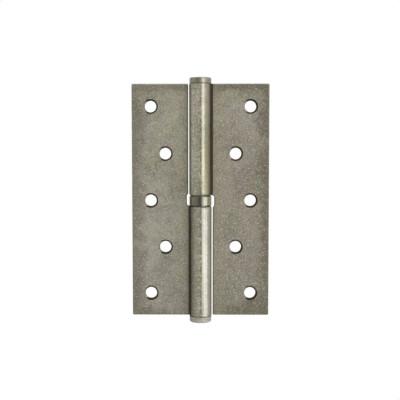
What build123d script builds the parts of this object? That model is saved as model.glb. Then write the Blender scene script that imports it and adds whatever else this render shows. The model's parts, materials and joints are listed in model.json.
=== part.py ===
from build123d import *

import os
from math import asin, atan2, cos, degrees, floor, pi, radians, sin, sqrt

# Lift-off door hinge, in millimetres. The pin stands on the Z axis, with the origin
# halfway up it. The frame leaf lies towards -X and holds the pin in its lower knuckle.
# The door leaf lies towards +X and lifts off the pin. The side that takes the screw
# heads faces -Y.

# Leaves, each cut and rolled from one piece of sheet
leaf_height = 125.0
leaf_reach = 36.9  # from the pin's axis to a leaf's outer edge
sheet = 2.5
closed_gap = 3.0  # space between the leaves when the hinge is shut
leaf_corner = 0.8  # rounding of the corners of a leaf's outline
edge_break = 0.55  # chamfer of the sheet's cut edges

# Screw holes in two staggered columns
hole_d = 6.2
sink_d = 8.0
sink_angle = 90.0
hole_pitch = 25.2  # height from one hole to the next, across the columns
outer_column = 26.8  # from the pin's axis
inner_column = 18.9
outer_holes = 3
inner_holes = 2

# Rolled knuckle
knuckle_d = 12.0
crank_radius = 0.75  # inside of the bend that leads from the flat leaf into the curl
seam_gap = 0.3  # from the curl's free edge to the leaf's front face
side_gap = 0.6  # from a knuckle to the edge of the other leaf beside it
notch_step = 0.75  # further cut-back of that edge beside the bearing
notch_margin = 0.1  # height of the notch past the other knuckle's end
notch_corner = 1.2  # rounding of the notch's corners
rim_draw = 0.35  # how far the sheet draws in at a knuckle's bearing end
rim_rise = 1.0  # height over which it does so

# Hinge pin
pin_reach = 46.0  # height of the pin inside the upper knuckle
pin_play = 0.05  # around the pin where the door leaf turns on it
seat_play = 0.01  # around the pin and the cap stems where they are pressed in
pin_nose = 1.2  # chamfer at the top of the pin

# End caps
cap_height = 2.9
cap_step = 0.15  # cap edge inside the knuckle's outside
cap_break = 0.4  # chamfer of the rim
cap_stem = 6.0

# Ball bearing between the knuckles
bearing_height = 5.6
shell_step = 0.1  # shell's outside inside the knuckle's outside
shell_wall = 0.45
shell_lip = 0.45  # reach of the two rims past the wall
shell_break = 0.35  # chamfer of the rims
shell_drop = 0.2  # from a rim to the knuckle's end
lip_play = 0.1  # between a rim and the race that stands up through it
race_play = 0.05  # between the races, the balls and the shell
pin_clearance = 0.15  # from the pin to the races
ball_gap = 0.15  # least gap from one ball to the next

# Sizes that follow from them
half_height = leaf_height / 2
knuckle_r = knuckle_d / 2
bore_r = knuckle_r - sheet
knuckle_end = bearing_height / 2
knuckle_length = half_height - knuckle_end
leaf_front = closed_gap / 2
leaf_back = leaf_front + sheet
cut_edge = knuckle_r + side_gap
notch_edge = cut_edge + notch_step
notch_foot = -knuckle_end - notch_margin

crank_y = leaf_back + crank_radius
crank_x = sqrt((knuckle_r + crank_radius) ** 2 - crank_y**2)
crank_angle = degrees(atan2(crank_y, crank_x))
seam_angle = degrees(asin((leaf_front - seam_gap) / knuckle_r))
curl_angle = 360 + seam_angle - crank_angle

pin_r = bore_r - pin_play
seat_r = bore_r - seat_play
cap_r = knuckle_r - cap_step
cap_foot = -half_height - cap_height

shell_r = knuckle_r - shell_step
shell_inside = shell_r - shell_wall
mouth_r = shell_inside - shell_lip
shell_top = knuckle_end - shell_drop
race_r = shell_inside - race_play
race_bore_r = pin_r + pin_clearance
race_neck_r = mouth_r - lip_play
race_shoulder = shell_top - shell_wall - race_play
ball_r = (race_r - race_bore_r) / 2
ball_circle = (race_r + race_bore_r) / 2
ball_count = floor(2 * pi * ball_circle / (2 * ball_r + ball_gap))
ball_flat = 2 * ball_r / sqrt(1 + 2 * (sqrt(2) - 1) ** 2)  # with its corners at ball_r
ball_cut = ball_flat * (1 - sqrt(2) / 2)
race_face = ball_flat / 2 + race_play

# Door leaf: the sheet runs in flat, cranks to the back of the pin and curls round it,
# until its free edge comes round the front to the leaf again.
with BuildPart() as door_leaf:
    with BuildSketch(Plane.XY.offset(knuckle_end)):
        with BuildLine():
            back_bend = CenterArc((crank_x, crank_y), crank_radius, 270, crank_angle - 90)
            outside = CenterArc((0, 0), knuckle_r, crank_angle, curl_angle)
            inside = CenterArc((0, 0), bore_r, seam_angle, -curl_angle)
            front_bend = CenterArc(
                (crank_x, crank_y), crank_radius + sheet, 180 + crank_angle, 90 - crank_angle
            )
            Line(outside @ 1, inside @ 0)
            Line(front_bend @ 1, back_bend @ 0)
        make_face()
    extrude(amount=knuckle_length)

    # Flat leaf, cut back beside the other knuckle and a little more beside the bearing.
    with BuildSketch(Plane.XZ.offset(-leaf_back)) as outline:
        with BuildLine():
            Polyline(
                (crank_x, knuckle_end),
                (crank_x, half_height),
                (leaf_reach, half_height),
                (leaf_reach, -half_height),
                (cut_edge, -half_height),
                (cut_edge, notch_foot - notch_step),
                (notch_edge, notch_foot),
                (notch_edge, knuckle_end),
                close=True,
            )
        make_face()
        corners = outline.vertices().sort_by(Axis.X)
        fillet(corners[2:4].sort_by(Axis.Y)[1:] + corners[4:6], notch_corner)
        corners = outline.vertices()
        upper_corner = corners.group_by(Axis.X)[-1].sort_by(Axis.Y)[-1:]
        fillet(corners.group_by(Axis.Y)[0] + upper_corner, leaf_corner)
    extrude(amount=sheet)

    # The outline, the knuckle's ends and the seam's edges are broken all round.
    free_edge = door_leaf.faces().sort_by_distance(
        (
            (knuckle_r + bore_r) / 2 * cos(radians(seam_angle)),
            (knuckle_r + bore_r) / 2 * sin(radians(seam_angle)),
            knuckle_end + knuckle_length / 2,
        )
    )[0]
    ends = door_leaf.faces().filter_by(Axis.Z).edges()
    sides = door_leaf.faces().filter_by(Axis.X).edges()
    chamfer((ends + sides).filter_by(Axis.Y, reverse=True) + free_edge.edges(), edge_break)

    # Beside the bearing the knuckle's end draws in further than its broken edge.
    with BuildSketch(Plane.XZ):
        with BuildLine():
            Polyline(
                (knuckle_r - rim_draw, knuckle_end),
                (knuckle_r, knuckle_end),
                (knuckle_r, knuckle_end + rim_rise),
                close=True,
            )
        make_face()
    revolve(axis=Axis.Z, mode=Mode.SUBTRACT)

    for column, count in ((outer_column, outer_holes), (inner_column, inner_holes)):
        with Locations(Plane((column, leaf_front, 0), x_dir=(1, 0, 0), z_dir=(0, -1, 0))):
            with GridLocations(hole_pitch, 2 * hole_pitch, 1, count):
                CounterSinkHole(hole_d / 2, sink_d / 2, counter_sink_angle=sink_angle)

# Frame leaf: the same pressing, turned over end for end.
with BuildPart() as frame_leaf:
    add(door_leaf.part, rotation=(0, 180, 0))

# Bottom cap: a turned button whose stem plugs the lower knuckle.
with BuildPart() as bottom_cap:
    with BuildSketch(Plane.XZ):
        with BuildLine():
            Polyline(
                (0, cap_stem - half_height),
                (seat_r, cap_stem - half_height),
                (seat_r, -half_height),
                (cap_r, -half_height),
                (cap_r, cap_foot + cap_break),
                (cap_r - cap_break, cap_foot),
                (0, cap_foot),
                close=True,
            )
        make_face()
    revolve(axis=Axis.Z)

with BuildPart() as top_cap:
    add(bottom_cap.part, rotation=(180, 0, 0))

# Hinge pin: pressed into the lower knuckle on top of the cap's stem, slimmer above.
with BuildPart() as hinge_pin:
    with BuildSketch(Plane.XY.offset(cap_stem - half_height)):
        Circle(seat_r)
    extrude(amount=knuckle_length - cap_stem)
    with BuildSketch(Plane.XY.offset(-knuckle_end)):
        Circle(pin_r)
    extrude(amount=bearing_height + pin_reach)
    chamfer(hinge_pin.edges().sort_by(Axis.Z)[-1], pin_nose)

# Bearing shell: a polished ring whose rims turn in over both races.
with BuildPart() as bearing_shell:
    with BuildSketch(Plane.XZ) as shell_section:
        with Locations(((mouth_r + shell_r) / 2, 0)):
            Rectangle(shell_r - mouth_r, 2 * shell_top)
        chamfer(shell_section.vertices().group_by(Axis.X)[-1], shell_break)
        with Locations(((mouth_r + shell_inside) / 2, 0)):
            Rectangle(shell_lip, 2 * (shell_top - shell_wall), mode=Mode.SUBTRACT)
    revolve(axis=Axis.Z)

# Lower race: a flat ring held under the rim, whose neck stands on the knuckle.
with BuildPart() as lower_race:
    with BuildSketch(Plane.XZ):
        with Locations(((race_bore_r + race_r) / 2, -(race_face + race_shoulder) / 2)):
            Rectangle(race_r - race_bore_r, race_shoulder - race_face)
        with Locations(((race_bore_r + race_neck_r) / 2, -(race_face + knuckle_end) / 2)):
            Rectangle(race_neck_r - race_bore_r, knuckle_end - race_face)
    revolve(axis=Axis.Z)

with BuildPart() as upper_race:
    add(lower_race.part, rotation=(180, 0, 0))

# Bearing balls: a full ring between the races, kept in by the shell. Each ball has
# 26 flats in place of a round face.
with BuildPart() as bearing_balls:
    with PolarLocations(ball_circle, ball_count):
        Box(ball_flat, ball_flat, ball_flat)
    chamfer(bearing_balls.edges(), ball_cut)

pieces = {
    "frame_leaf": frame_leaf,
    "door_leaf": door_leaf,
    "hinge_pin": hinge_pin,
    "bottom_cap": bottom_cap,
    "top_cap": top_cap,
    "bearing_shell": bearing_shell,
    "lower_race": lower_race,
    "upper_race": upper_race,
    "bearing_balls": bearing_balls,
}

os.makedirs("parts", exist_ok=True)
for name, piece in pieces.items():
    piece.part.label = name
    export_step(piece.part, f"parts/{name}.step")
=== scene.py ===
import json
from math import cos, pi, radians, sin
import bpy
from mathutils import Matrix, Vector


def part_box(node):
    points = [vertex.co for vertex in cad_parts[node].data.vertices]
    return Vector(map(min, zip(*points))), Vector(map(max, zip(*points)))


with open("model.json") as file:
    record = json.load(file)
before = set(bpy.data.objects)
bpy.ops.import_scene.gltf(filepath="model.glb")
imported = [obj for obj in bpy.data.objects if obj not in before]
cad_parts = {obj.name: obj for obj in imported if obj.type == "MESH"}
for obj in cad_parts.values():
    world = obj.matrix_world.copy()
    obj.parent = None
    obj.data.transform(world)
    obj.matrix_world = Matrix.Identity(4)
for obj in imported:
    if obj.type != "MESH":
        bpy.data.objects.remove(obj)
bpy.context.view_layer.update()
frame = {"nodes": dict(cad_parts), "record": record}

from types import SimpleNamespace

import bpy
from mathutils import Quaternion, Vector

scene = bpy.context.scene
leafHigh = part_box("door_leaf")[1]
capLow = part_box("top_cap")[0]


# Small helpers for building node trees

class Graph:
    def __init__(self, tree):
        self.nodes, self.links = tree.nodes, tree.links
        self.nodes.clear()

    def add(self, kind, inputs=None, **settings):
        node = self.nodes.new("ShaderNode" + kind)
        for name, value in settings.items():
            setattr(node, name, value)
        for key, value in (inputs or {}).items():
            self.feed(node.inputs[key], value)
        return node

    def feed(self, socket, value):
        if isinstance(value, bpy.types.NodeSocket):
            self.links.new(value, socket)
        else:
            socket.default_value = value

    def math(self, operation, first, second=0.0, third=0.0):
        return self.add("Math", {0: first, 1: second, 2: third}, operation=operation).outputs[0]

    def times(self, first, *others):
        for other in others:
            first = self.math("MULTIPLY", first, other)
        return first

    def most(self, first, *others):
        for other in others:
            first = self.math("MAXIMUM", first, other)
        return first

    def ramp(self, value, start, end, low=0.0, high=1.0):
        sent = {"Value": value, "From Min": start, "From Max": end, "To Min": low, "To Max": high}
        return self.add("MapRange", sent, interpolation_type="SMOOTHSTEP").outputs[0]

    def between(self, value, start, full, fullEnd, end):
        return self.times(self.ramp(value, start, full), self.ramp(value, end, fullEnd))

    def mix(self, share, first, second):
        node = self.add("Mix", data_type="RGBA")
        for socket, value in ((0, share), (6, first), (7, second)):
            self.feed(node.inputs[socket], value)
        return node.outputs[2]

    def noise(self, place, size, detail, roughness):
        sent = {"Vector": place, "Scale": 1 / size, "Detail": detail, "Roughness": roughness}
        return self.add("TexNoise", sent).outputs[0]

    def moved(self, place, shift):
        return self.add("Mapping", {0: place, "Location": shift}).outputs[0]

    # Fine lines round the pin's axis, as a lathe leaves them
    def turnedLines(self, place, stretch, noise):
        drawn = self.add("Mapping", {0: place, "Scale": (stretch, stretch, 1.0)}).outputs[0]
        return self.noise(drawn, *noise)

    # A value that wanders around its middle with a noise
    def around(self, middle, wander, noise):
        return self.math("MULTIPLY_ADD", noise, wander, middle - wander / 2)

    def axes(self, vector):
        return self.add("SeparateXYZ", {0: vector}).outputs

    def bump(self, height, depth, strength=1.0):
        sent = {"Height": height, "Distance": depth, "Strength": strength}
        return self.add("Bump", sent).outputs[0]

    def surface(self, settings):
        shader = self.add("BsdfPrincipled", settings)
        self.add("OutputMaterial", {0: shader.outputs[0]})


def newMaterial(name):
    material = bpy.data.materials.new(name)
    material.use_nodes = True
    return material, Graph(material.node_tree)


def colour(r, g, b):
    return (r, g, b, 1.0)


def grey(level):
    return colour(level, level, level)


# Aged nickel plate of the leaves, tumbled, with painted shade in its seams, joints and screw
# holes and a painted highlight on its knuckles

agedPlate = {
    # the patina's colour, which also paints shade in several places below
    "patinaAndShade": colour(0.17, 0.155, 0.11),
    "knuckle": (0.0068, 0.0062),    # metres from the pin: off the flat of a leaf, onto a knuckle
}


def readPlate(graph, look):
    coords = graph.add("TexCoord").outputs
    spot = SimpleNamespace(place=coords["Object"], patinaAndShade=look["patinaAndShade"])
    spot.x, spot.y, spot.z = graph.axes(spot.place)     # from the pin and the hinge's middle
    spot.facing = graph.axes(coords["Normal"])
    spot.outward = graph.math("ABSOLUTE", spot.x)
    spot.upright = graph.math("ABSOLUTE", spot.z)
    spot.onKnuckle = graph.ramp(spot.outward, *look["knuckle"])
    return spot


# Mottling from olive to rosy, with darker clouds and smudges

mottling = {
    "olive": colour(0.437, 0.418, 0.309),
    "rosy": colour(0.458, 0.411, 0.357),
    "patches": (0.013, 3.0, 0.6),   # a noise: its size in metres, detail and roughness
    "patchShift": (0.644, 0.0, 0.092),
    "patchSpan": (0.38, 0.62),      # where they start to show, and where they are full
    "rosyLean": 0.035,              # the left leaf is more olive, the right one more rosy
    "leanSpan": (-0.02, 0.02),
    "knuckleLean": 0.1,             # and the knuckles are more olive than the leaves
    "cool": colour(0.446, 0.428, 0.37),
    "coolSide": (-0.004, -0.008),   # the left leaf is greyer, most of all low down
    "coolHeights": (0.06, -0.04),
    "coolShare": 0.7,
    "clouds": (0.024, 3.0, 0.55),
    "cloudShift": (0.918, 0.0, 0.274),
    "cloudSpan": (0.62, 0.36),
    "cloudShare": 0.36,
    "smudges": (0.0035, 2.0, 0.55),
    "smudgeSpan": (0.6, 0.3),
    "smudgeShare": 0.32,
}


def mottlePlate(graph, spot, look):
    spot.patches = graph.noise(graph.moved(spot.place, look["patchShift"]), *look["patches"])
    spot.smudges = graph.noise(spot.place, *look["smudges"])
    clouds = graph.noise(graph.moved(spot.place, look["cloudShift"]), *look["clouds"])
    lean = graph.ramp(spot.x, *look["leanSpan"], -look["rosyLean"], look["rosyLean"])
    lean = graph.math("MULTIPLY_ADD", spot.onKnuckle, -look["knuckleLean"], lean)
    rosiness = graph.ramp(graph.math("ADD", spot.patches, lean), *look["patchSpan"])
    tone = graph.mix(rosiness, look["olive"], look["rosy"])
    cool = graph.times(
        graph.ramp(spot.x, *look["coolSide"]),
        graph.ramp(spot.z, *look["coolHeights"], 0.0, look["coolShare"]),
    )
    tone = graph.mix(cool, tone, look["cool"])
    clouded = graph.ramp(clouds, *look["cloudSpan"], 0.0, look["cloudShare"])
    smudged = graph.ramp(spot.smudges, *look["smudgeSpan"], 0.0, look["smudgeShare"])
    return graph.mix(graph.math("ADD", clouded, smudged), tone, spot.patinaAndShade)


# Front of a knuckle, rubbed smooth to the right of its middle, where it is also painted whiter as
# a painted highlight, and painted shade further right on the upper knuckle

rubbedFront = {
    "across": (0.0, 0.0012),
    "front": (0.0, -0.002),
    # whiter tone of the painted highlight
    "whiteHighlight": colour(0.432, 0.418, 0.362),
    "lowerHighlight": (0.001, -0.004),     # heights where the painted highlight shows, down the lower knuckle
    "lowerShare": 0.55,
    "upperHighlight": (0.02, 0.045),       # and up the upper one
    "upperShare": 0.2,
    # colour of the painted shade
    "stainAndShade": colour(0.3, 0.27, 0.13),
    "shadeSide": (0.0015, 0.003),     # painted shade on the right of the upper knuckle's front
    "shadeFront": (-0.0025, -0.0042),
    "shadeTop": (0.045, 0.02),
    "shadeFoot": (0.0, 0.003),
    "shadeShare": 0.65,
}


def paintKnuckleHighlightAndShade(graph, spot, tone, look):
    spot.rubbed = graph.times(
        graph.ramp(spot.x, *look["across"]), graph.ramp(spot.y, *look["front"]), spot.onKnuckle
    )
    lower = graph.ramp(spot.z, *look["lowerHighlight"], 0.0, look["lowerShare"])
    upper = graph.ramp(spot.z, *look["upperHighlight"], 0.0, look["upperShare"])
    # painted highlight, whiter where the knuckle's front is rubbed
    tone = graph.mix(graph.times(graph.most(lower, upper), spot.rubbed), tone, look["whiteHighlight"])
    # painted shade on the right of the upper knuckle's front
    stainAndShade = graph.times(
        graph.ramp(spot.x, *look["shadeSide"]),
        graph.ramp(spot.y, *look["shadeFront"]),
        graph.ramp(spot.z, *look["shadeTop"]),
        graph.ramp(spot.z, *look["shadeFoot"], 0.0, look["shadeShare"]),
        spot.onKnuckle,
    )
    return graph.mix(stainAndShade, tone, look["stainAndShade"])


# Darker border of a leaf, uneven in width, and painted shade that grows to the lower right

leafBorder = {
    "width": 0.0095,
    "patchWander": 0.018,
    "smudgeWander": 0.0144,
    "sides": (-0.006, 0.006),
    "share": (0.66, 0.95),          # on the left leaf and on the right one
    "corner": (-0.026, -0.003),     # how the corners darken further, towards their points
    "cornerLean": (-0.1, 0.0),      # all but the upper left one
    "cornerShare": 0.62,
    # painted shade, darker to the right and downwards
    "lowerRightShade": (-0.1, 0.11),
    "lowerRightLean": 2.2,             # how much more to the right than downwards
    "lowerRightShadeShare": 0.45,
    "knuckleShadeShare": 0.5,          # how much of it the knuckles have
    "inner": (0.006, 0.0072, 0.009, 0.017),     # olive strip beside the knuckles
    "innerTone": colour(0.36, 0.33, 0.2),
    "innerPatches": (0.4, 0.6),
    "innerShare": 0.55,
}


def darkenBorder(graph, spot, tone, look):
    wander = graph.math(
        "ADD",
        graph.around(0.0, look["patchWander"], spot.patches),
        graph.around(0.0, look["smudgeWander"], spot.smudges),
    )
    across = graph.math("ADD", spot.outward, wander)
    along = graph.math("ADD", spot.upright, wander)
    inside = graph.times(
        graph.ramp(across, leafHigh.x, leafHigh.x - look["width"]),
        graph.ramp(along, leafHigh.z, leafHigh.z - look["width"]),
    )
    border = graph.times(
        graph.ramp(inside, 1.0, 0.0),
        graph.ramp(spot.x, *look["sides"], *look["share"]),
        graph.ramp(spot.onKnuckle, 1.0, 0.0),
    )
    downRight = graph.math("MULTIPLY_ADD", spot.x, look["lowerRightLean"], graph.times(spot.z, -1.0))
    pastCorner = graph.math("SUBTRACT", graph.math("ADD", across, along), leafHigh.x + leafHigh.z)
    corner = graph.times(
        graph.ramp(pastCorner, *look["corner"]),
        graph.ramp(downRight, *look["cornerLean"], 0.0, look["cornerShare"]),
    )
    spot.border = graph.most(border, corner)
    tone = graph.mix(spot.border, tone, spot.patinaAndShade)
    tone = graph.mix(corner, tone, spot.patinaAndShade)
    # painted shade growing to the lower right
    lowerRightShade = graph.times(
        graph.ramp(downRight, *look["lowerRightShade"], 0.0, look["lowerRightShadeShare"]),
        graph.ramp(spot.onKnuckle, 0.0, 1.0, 1.0, look["knuckleShadeShare"]),
    )
    tone = graph.mix(lowerRightShade, tone, spot.patinaAndShade)
    inner = graph.times(
        graph.between(spot.outward, *look["inner"]),
        graph.ramp(spot.patches, *look["innerPatches"], 0.0, look["innerShare"]),
    )
    return graph.mix(inner, tone, look["innerTone"])


# Grain of specks and pits, sparse glints, and a dark line of dots up the front of a knuckle

plateGrain = {
    "grain": (0.0008, 2.0, 0.6),
    "speck": colour(0.58, 0.55, 0.465),
    "speckSpan": (0.48, 0.7),
    "pit": colour(0.25, 0.225, 0.17),
    "pitSpan": (0.5, 0.26),
    "share": (0.72, 0.95),          # on the leaves and on the knuckles
    "rubbedShare": 0.35,            # how much of the grain is left where a knuckle is rubbed
    "borderShare": 0.6,             # and in the dark border
    "glint": colour(0.8, 0.74, 0.55),
    "glints": (0.0013, 1.0, 0.5),
    "glintSpan": (0.72, 0.8),
    "glintShare": 0.55,
    "darkLine": (-0.0005, 0.0, 0.0003, 0.0008),
    "darkLineFront": (0.0, -0.001),
    "dots": (0.0018, 1.0, 0.5),
    "dotSpan": (0.44, 0.55),
    "dotShare": (0.072, 0.72),      # between the dots and in them
}


def grainPlate(graph, spot, tone, look):
    spot.grain = graph.noise(spot.place, *look["grain"])
    spot.grained = graph.times(
        graph.ramp(spot.rubbed, 0.0, 1.0, 1.0, look["rubbedShare"]),
        graph.ramp(spot.border, 0.0, 1.0, 1.0, look["borderShare"]),
    )
    shown = graph.times(spot.grained, graph.ramp(spot.onKnuckle, 0.0, 1.0, *look["share"]))
    specks = graph.times(graph.ramp(spot.grain, *look["speckSpan"]), shown)
    tone = graph.mix(specks, tone, look["speck"])
    pits = graph.times(graph.ramp(spot.grain, *look["pitSpan"]), shown)
    tone = graph.mix(pits, tone, look["pit"])
    glints = graph.noise(spot.place, *look["glints"])
    glints = graph.ramp(glints, *look["glintSpan"], 0.0, look["glintShare"])
    tone = graph.mix(graph.times(glints, spot.grained), tone, look["glint"])
    darkLine = graph.times(
        graph.between(spot.x, *look["darkLine"]),
        graph.ramp(spot.y, *look["darkLineFront"]),
        graph.ramp(graph.noise(spot.place, *look["dots"]), *look["dotSpan"], *look["dotShare"]),
    )
    return graph.mix(darkLine, tone, spot.patinaAndShade)


# Painted shade round a knuckle towards its seam, and painted black shade in the seam, the joints
# and the screw holes, over some real patina in the seam

recesses = {
    # colour of the painted shade in the recesses
    "black": colour(0.037, 0.03, 0.016),
    "seamSide": (-0.000001, 0.000001),    # x times z: right of the pin above, left of it below
    "seamShadeDepth": (-0.0059, -0.0042),    # how the painted shade grows round a knuckle to its seam
    "seamShadeShare": 0.7,
    "seamDepth": (-0.0046, -0.0026),      # and the painted black shade beside the seam
    "wander": 0.0012,                     # how uneven that is
    "seamReach": (0.0067, 0.0058),        # how it fades out on the leaf
    "seamSides": (-0.001, 0.001),
    "seamShift": 0.0005,                  # further out on the right leaf
    "limbDepth": (-0.0042, -0.0024),      # the same where a knuckle passes the other leaf
    "limbReach": (0.0064, 0.0061),
    "limbShare": 0.72,
    "back": (0.0030, 0.0022),             # none of these on the leaves' backs
    "rim": (0.0036, 0.0029),              # heights of the painted shade beside the bearing
    "joint": (0.0012, 0.0003),            # heights of the painted shade under a cap, down from the knuckle's end
    "jointSides": (-0.002, 0.003),
    "jointShare": (0.45, 0.18),           # on the left of that joint, away from the light, and on the right
    "jointSmudges": (0.4, 0.58),
    "jointMottle": (0.25, 1.4),
    "holeSpan": (0.0125, 0.0130, 0.0330, 0.0335),     # where the screw holes are
    "holeEnd": (0.002, 0.003),            # none of them is this close to a leaf's end
    "holeWall": (0.95, 0.85),             # faces turned away from front and back
    "shadedWalls": (0.6, 0.35),             # but not those that face right, towards the light
}


def shadeRecesses(graph, spot, tone, look):
    depth = graph.math("ADD", spot.y, graph.around(0.0, look["wander"], spot.smudges))
    seamSide = graph.ramp(graph.times(spot.x, spot.z), *look["seamSide"])
    # painted shade round a knuckle towards its seam
    patinaAndShade = graph.times(
        graph.ramp(spot.y, *look["seamShadeDepth"]),
        graph.ramp(spot.y, *look["back"], 0.0, look["seamShadeShare"]),
        seamSide,
        spot.onKnuckle,
    )
    tone = graph.mix(patinaAndShade, tone, spot.patinaAndShade)

    shift = graph.ramp(spot.x, *look["seamSides"], 0.0, look["seamShift"])
    # painted black shade beside the seam and where a knuckle passes the other leaf
    seam = graph.times(
        graph.ramp(depth, *look["seamDepth"]),
        graph.ramp(graph.math("SUBTRACT", spot.outward, shift), *look["seamReach"]),
        seamSide,
    )
    limb = graph.times(
        graph.ramp(depth, *look["limbDepth"]),
        graph.ramp(spot.outward, *look["limbReach"], 0.0, look["limbShare"]),
    )
    crease = graph.times(graph.most(seam, limb), graph.ramp(spot.y, *look["back"]))
    # painted shade at the knuckle's end beside the bearing
    rim = graph.times(graph.ramp(spot.upright, *look["rim"]), spot.onKnuckle)
    # painted shade at the joint under a cap
    joint = graph.times(
        graph.ramp(spot.upright, *[leafHigh.z - height for height in look["joint"]]),
        graph.ramp(spot.x, *look["jointSides"], *look["jointShare"]),
        graph.ramp(spot.smudges, *look["jointSmudges"], *look["jointMottle"]),
        spot.onKnuckle,
    )
    # painted shade on the walls of the screw holes that face away from the light
    hole = graph.times(
        graph.between(spot.outward, *look["holeSpan"]),
        graph.ramp(spot.upright, *[leafHigh.z - height for height in look["holeEnd"]]),
        graph.ramp(graph.math("ABSOLUTE", spot.facing[1]), *look["holeWall"]),
        graph.ramp(spot.facing[0], *look["shadedWalls"]),
    )
    spot.recess = graph.most(crease, rim, joint, hole)
    return graph.mix(spot.recess, tone, look["black"])


# Gloss and dents of the plate

plateGloss = {
    "metal": 0.38,
    "gloss": 0.23,
    "rubbedGloss": 0.17,
    "wander": 0.2,                  # of the gloss, with the grain
    "specular": 0.1,
    "diffuseRoughness": 1.0,
    "dents": (0.0024, 2.0, 0.5),
    "grainHeight": 0.5,             # beside the dents
    "bumpDepth": 0.000016,
}


def makeAgedPlate(look):
    material, graph = newMaterial("agedNickel")
    spot = readPlate(graph, agedPlate)
    tone = mottlePlate(graph, spot, mottling)
    tone = paintKnuckleHighlightAndShade(graph, spot, tone, rubbedFront)
    tone = darkenBorder(graph, spot, tone, leafBorder)
    tone = grainPlate(graph, spot, tone, plateGrain)
    tone = shadeRecesses(graph, spot, tone, recesses)
    dents = graph.noise(spot.place, *look["dents"])
    height = graph.math("MULTIPLY_ADD", spot.grain, look["grainHeight"], dents)
    gloss = graph.ramp(spot.rubbed, 0.0, 1.0, look["gloss"], look["rubbedGloss"])
    gloss = graph.math("ADD", gloss, graph.around(0.0, look["wander"], spot.grain))
    graph.surface({
        "Base Color": tone,
        "Metallic": graph.ramp(spot.recess, 0.0, 1.0, look["metal"], 0.0),
        "Roughness": graph.most(gloss, spot.recess),
        "Specular IOR Level": look["specular"],
        "Diffuse Roughness": look["diffuseRoughness"],
        "Normal": graph.bump(height, look["bumpDepth"], spot.grained),
    })
    return material


# Caps: the same plate on a turned button, brushed brighter, with painted shade at the joint to
# the knuckle; the bottom cap's copy is painted lighter than the top one's

satinCap = {
    # one finish in two copies, the bottom one painted lighter as painted light
    "bottom": {"tint": colour(0.363, 0.34, 0.285), "metal": 0.2, "gloss": 0.45},
    "top": {"tint": colour(0.283, 0.268, 0.215), "metal": 1.0, "gloss": 0.34},
    "wander": 0.2,                  # of the gloss
    "black": colour(0.05, 0.042, 0.03),
    "grain": (0.0011, 3.0, 0.6),
    "dullSpan": (0.6, 0.35),
    "dullShare": 0.35,
    "joint": 0.0008,                # height of the painted shade at the joint to the knuckle
    "jointShare": 0.5,
    "jointSmudges": (0.4, 0.58),
    "jointMottle": (0.25, 1.4),
    "smudges": (0.0035, 2.0, 0.55),
    "lines": (0.0003, 2.0, 0.6),
    "stretch": 0.05,
    "grainHeight": 2.0,             # beside the lines
    "bumpDepth": 0.000006,
}


def makeSatinCap(end, look):
    own = look[end]
    material, graph = newMaterial(end + "CapNickel")
    place = graph.add("TexCoord").outputs["Object"]
    upright = graph.math("ABSOLUTE", graph.axes(place)[2])
    lines = graph.turnedLines(place, look["stretch"], look["lines"])
    grain = graph.noise(place, *look["grain"])
    dull = graph.ramp(grain, *look["dullSpan"], 0.0, look["dullShare"])
    tone = graph.mix(dull, own["tint"], look["black"])
    smudges = graph.noise(place, *look["smudges"])
    # painted shade at the joint to the knuckle
    joint = graph.times(
        graph.ramp(upright, capLow.z + look["joint"], capLow.z, 0.0, look["jointShare"]),
        graph.ramp(smudges, *look["jointSmudges"], *look["jointMottle"]),
    )
    height = graph.math("MULTIPLY_ADD", grain, look["grainHeight"], lines)
    graph.surface({
        "Base Color": graph.mix(joint, tone, look["black"]),
        "Metallic": own["metal"],
        "Roughness": graph.around(own["gloss"], look["wander"], grain),
        "Normal": graph.bump(height, look["bumpDepth"]),
    })
    return material


# Polished shell of the bearing, with faint turning lines, painted shade up its front and a
# painted highlight at its right side

polishedShell = {
    "tint": colour(0.245, 0.23, 0.188),
    "stainAndShade": colour(0.19, 0.176, 0.142),
    "stains": (0.004, 2.0, 0.5),
    "stainSpan": (0.4, 0.7),
    "warm": colour(0.25, 0.237, 0.173),
    "warmSide": (0.0008, 0.0020),     # warmer from the middle to the right
    "rightHighlight": colour(0.37, 0.348, 0.285),
    "rightHighlightSide": (0.0038, 0.0050),     # and painted brighter at its right side, a painted highlight
    "dark": colour(0.05, 0.045, 0.038),
    "frontShade": (-0.0018, -0.0007, 0.0015, 0.0026),     # painted shade in a strip up its front
    "frontShadeReach": (0.0, -0.001),
    "frontShadeShare": 0.52,
    "gloss": 0.22,
    "wander": 0.06,
    "lines": (0.00018, 2.0, 0.6),
    "stretch": 0.03,
    "bumpDepth": 0.0000015,
}


def makePolishedShell(look):
    material, graph = newMaterial("polishedNickel")
    place = graph.add("TexCoord").outputs["Object"]
    x, y = graph.axes(place)[:2]
    lines = graph.turnedLines(place, look["stretch"], look["lines"])
    stains = graph.noise(place, *look["stains"])
    tone = graph.mix(graph.ramp(stains, *look["stainSpan"]), look["tint"], look["stainAndShade"])
    tone = graph.mix(graph.ramp(x, *look["warmSide"]), tone, look["warm"])
    # painted highlight at the shell's right side
    tone = graph.mix(graph.ramp(x, *look["rightHighlightSide"]), tone, look["rightHighlight"])
    # painted shade up the shell's front
    frontShade = graph.times(
        graph.between(x, *look["frontShade"]),
        graph.ramp(y, *look["frontShadeReach"], 0.0, look["frontShadeShare"]),
    )
    graph.surface({
        "Base Color": graph.mix(frontShade, tone, look["dark"]),
        "Metallic": 1.0,
        "Roughness": graph.around(look["gloss"], look["wander"], stains),
        "Normal": graph.bump(lines, look["bumpDepth"]),
    })
    return material


# Ground steel of the pin and the bearing's inside, with a film of oil

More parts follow.
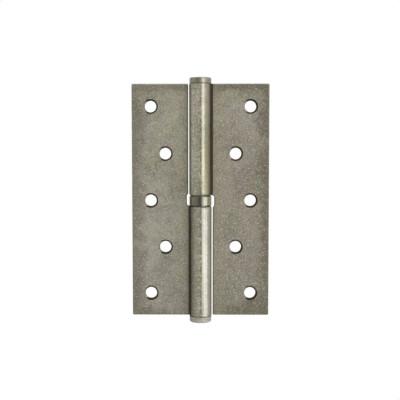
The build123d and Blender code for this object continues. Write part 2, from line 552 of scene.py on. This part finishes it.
groundSteel = {
    "bright": colour(0.44, 0.44, 0.42),
    "oiled": colour(0.29, 0.28, 0.255),
    "film": (0.006, 3.0, 0.6),
    "filmSpan": (0.4, 0.65),
    "gloss": 0.26,
    "wander": 0.2,
    "lines": (0.00012, 3.0, 0.6),
    "stretch": 0.04,
    "bumpDepth": 0.000003,
}


def makeGroundSteel(look):
    material, graph = newMaterial("groundSteel")
    place = graph.add("TexCoord").outputs["Object"]
    lines = graph.turnedLines(place, look["stretch"], look["lines"])
    film = graph.ramp(graph.noise(place, *look["film"]), *look["filmSpan"])
    graph.surface({
        "Base Color": graph.mix(film, look["bright"], look["oiled"]),
        "Metallic": 1.0,
        "Roughness": graph.around(look["gloss"], look["wander"], lines),
        "Normal": graph.bump(lines, look["bumpDepth"]),
    })
    return material


finishes = {
    "aged_nickel": makeAgedPlate(plateGloss),
    "polished_nickel": makePolishedShell(polishedShell),
    "ground_steel": makeGroundSteel(groundSteel),
}
for piece in frame["record"]["subparts"]:
    frame["nodes"][piece["node"]].material_slots[0].material = finishes[piece["material_slot"]]
for end in ("bottom", "top"):
    frame["nodes"][end + "_cap"].material_slots[0].material = makeSatinCap(end, satinCap)
print("finishes on", len(frame["nodes"]), "pieces")


# Floor, well below the hinge, which hangs where its frame holds it

studioFloor = {
    "drop": 0.3,               # from the hinge's middle, in metres
    "half": 4.0,
    "paint": grey(0.38),
    "seenPaint": grey(0.62),   # as the camera sees it
    "seenTo": (0.25, 0.5),     # beyond this the camera sees the white room in its place
}


def makeFloor(look):
    half = look["half"]
    mesh = bpy.data.meshes.new("studioFloor")
    corners = [(-half, -half, 0.0), (half, -half, 0.0), (half, half, 0.0), (-half, half, 0.0)]
    mesh.from_pydata(corners, [], [(0, 1, 2, 3)])
    floor = bpy.data.objects.new("studioFloor", mesh)
    floor.location.z = -look["drop"]
    scene.collection.objects.link(floor)
    material, graph = newMaterial("palePaint")
    place = graph.add("TexCoord").outputs["Object"]
    away = graph.add("VectorMath", {0: place}, operation="LENGTH").outputs["Value"]
    seen = graph.add("LightPath").outputs["Is Camera Ray"]
    paint = graph.add("BsdfDiffuse", {"Color": graph.mix(seen, look["paint"], look["seenPaint"])})
    clear = graph.add("BsdfTransparent")
    fade = graph.times(seen, graph.ramp(away, *look["seenTo"]))
    shader = graph.add("MixShader", {0: fade, 1: paint.outputs[0], 2: clear.outputs[0]})
    graph.add("OutputMaterial", {0: shader.outputs[0]})
    mesh.materials.append(material)


makeFloor(studioFloor)


# Light: a softbox to the right of the camera and a low panel beside it, in a white room

softbox = {
    "azimuth": 29.5,       # to the right of straight in front, in degrees
    "elevation": 6.5,
    "distance": 1.1,
    "width": 0.52,
    "height": 1.0,
    "radiance": 2.65,
    "tint": (1.0, 0.985, 0.94),
}
lowPanel = {
    "azimuth": 56.0,
    "elevation": -11.2,
    "distance": 0.75,
    "width": 0.546,
    "height": 0.23,
    "radiance": 3.1,
    "tint": (0.95, 0.99, 1.12),
}
room = {
    "left": 0.8,           # how bright its walls are, all round, and the ceiling
    "front": 0.36,
    "right": 1.1,
    "ceiling": 1.35,
    "frontSpan": (-85.0, -10.0, 9.0, 17.0),     # in degrees, from the left wall to the right one
    "wallTop": (0.12, 0.5),
    "backdrop": (0.3, 0.5),     # behind the hinge, white in its metal too
}


def aim(azimuth, elevation):
    a, e = radians(azimuth), radians(elevation)
    return Vector((sin(a) * cos(e), -cos(a) * cos(e), sin(e)))


def makeLamp(name, look):
    lamp = bpy.data.lights.new(name, "AREA")
    lamp.shape = "RECTANGLE"
    lamp.size, lamp.size_y = look["width"], look["height"]
    lamp.energy = look["radiance"] * pi * look["width"] * look["height"]     # in watts
    lamp.color = look["tint"]
    holder = bpy.data.objects.new(name, lamp)
    scene.collection.objects.link(holder)
    outward = aim(look["azimuth"], look["elevation"])
    holder.location = outward * look["distance"]
    holder.rotation_mode = "QUATERNION"
    holder.rotation_quaternion = (-outward).to_track_quat("-Z", "Y")
    holder.visible_camera = False


def makeRoom(look):
    world = bpy.data.worlds.new("studioRoom")
    world.use_nodes = True
    scene.world = world
    graph = Graph(world.node_tree)
    x, y, z = graph.axes(graph.add("TexCoord").outputs["Generated"])
    azimuth = graph.math("ARCTAN2", x, graph.times(y, -1.0))
    toFront, front, fromFront, toRight = [radians(angle) for angle in look["frontSpan"]]
    leftAndFront = graph.ramp(azimuth, toFront, front, look["left"], look["front"])
    walls = graph.add("MapRange", {
        "Value": azimuth, "From Min": fromFront, "From Max": toRight,
        "To Min": leftAndFront, "To Max": look["right"],
    })
    level = graph.mix(graph.ramp(z, *look["wallTop"]), walls.outputs[0], grey(look["ceiling"]))
    path = graph.add("LightPath").outputs
    mirrored = graph.times(path["Is Glossy Ray"], graph.ramp(y, *look["backdrop"]))
    white = graph.most(path["Is Camera Ray"], path["Is Transmission Ray"], mirrored)
    shade = graph.mix(white, level, grey(1.0))
    background = graph.add("Background", {"Color": shade, "Strength": 1.0})
    graph.add("OutputWorld", {0: background.outputs[0]})


makeLamp("softbox", softbox)
makeLamp("lowPanel", lowPanel)
makeRoom(room)
print("studio ready")


# Camera, as the photograph was taken

viewpoint = {
    "azimuth": 0.68,       # to the right of straight in front, in degrees
    "elevation": 4.0,
    "roll": -0.025,
    "distance": 0.4015,
    "lens": 67.28,
    "target": Vector((-0.000237, 0.0, 0.000358)),
}


def makeCamera(look):
    camera = bpy.data.cameras.new("photoCamera")
    camera.lens = look["lens"]
    holder = bpy.data.objects.new("photoCamera", camera)
    scene.collection.objects.link(holder)
    outward = aim(look["azimuth"], look["elevation"])
    holder.location = look["target"] + outward * look["distance"]
    holder.rotation_mode = "QUATERNION"
    tilt = Quaternion((0.0, 0.0, 1.0), radians(look["roll"]))
    holder.rotation_quaternion = (-outward).to_track_quat("-Z", "Y") @ tilt
    scene.camera = holder


makeCamera(viewpoint)
scene.view_settings.view_transform = "Standard"
print("camera ready")
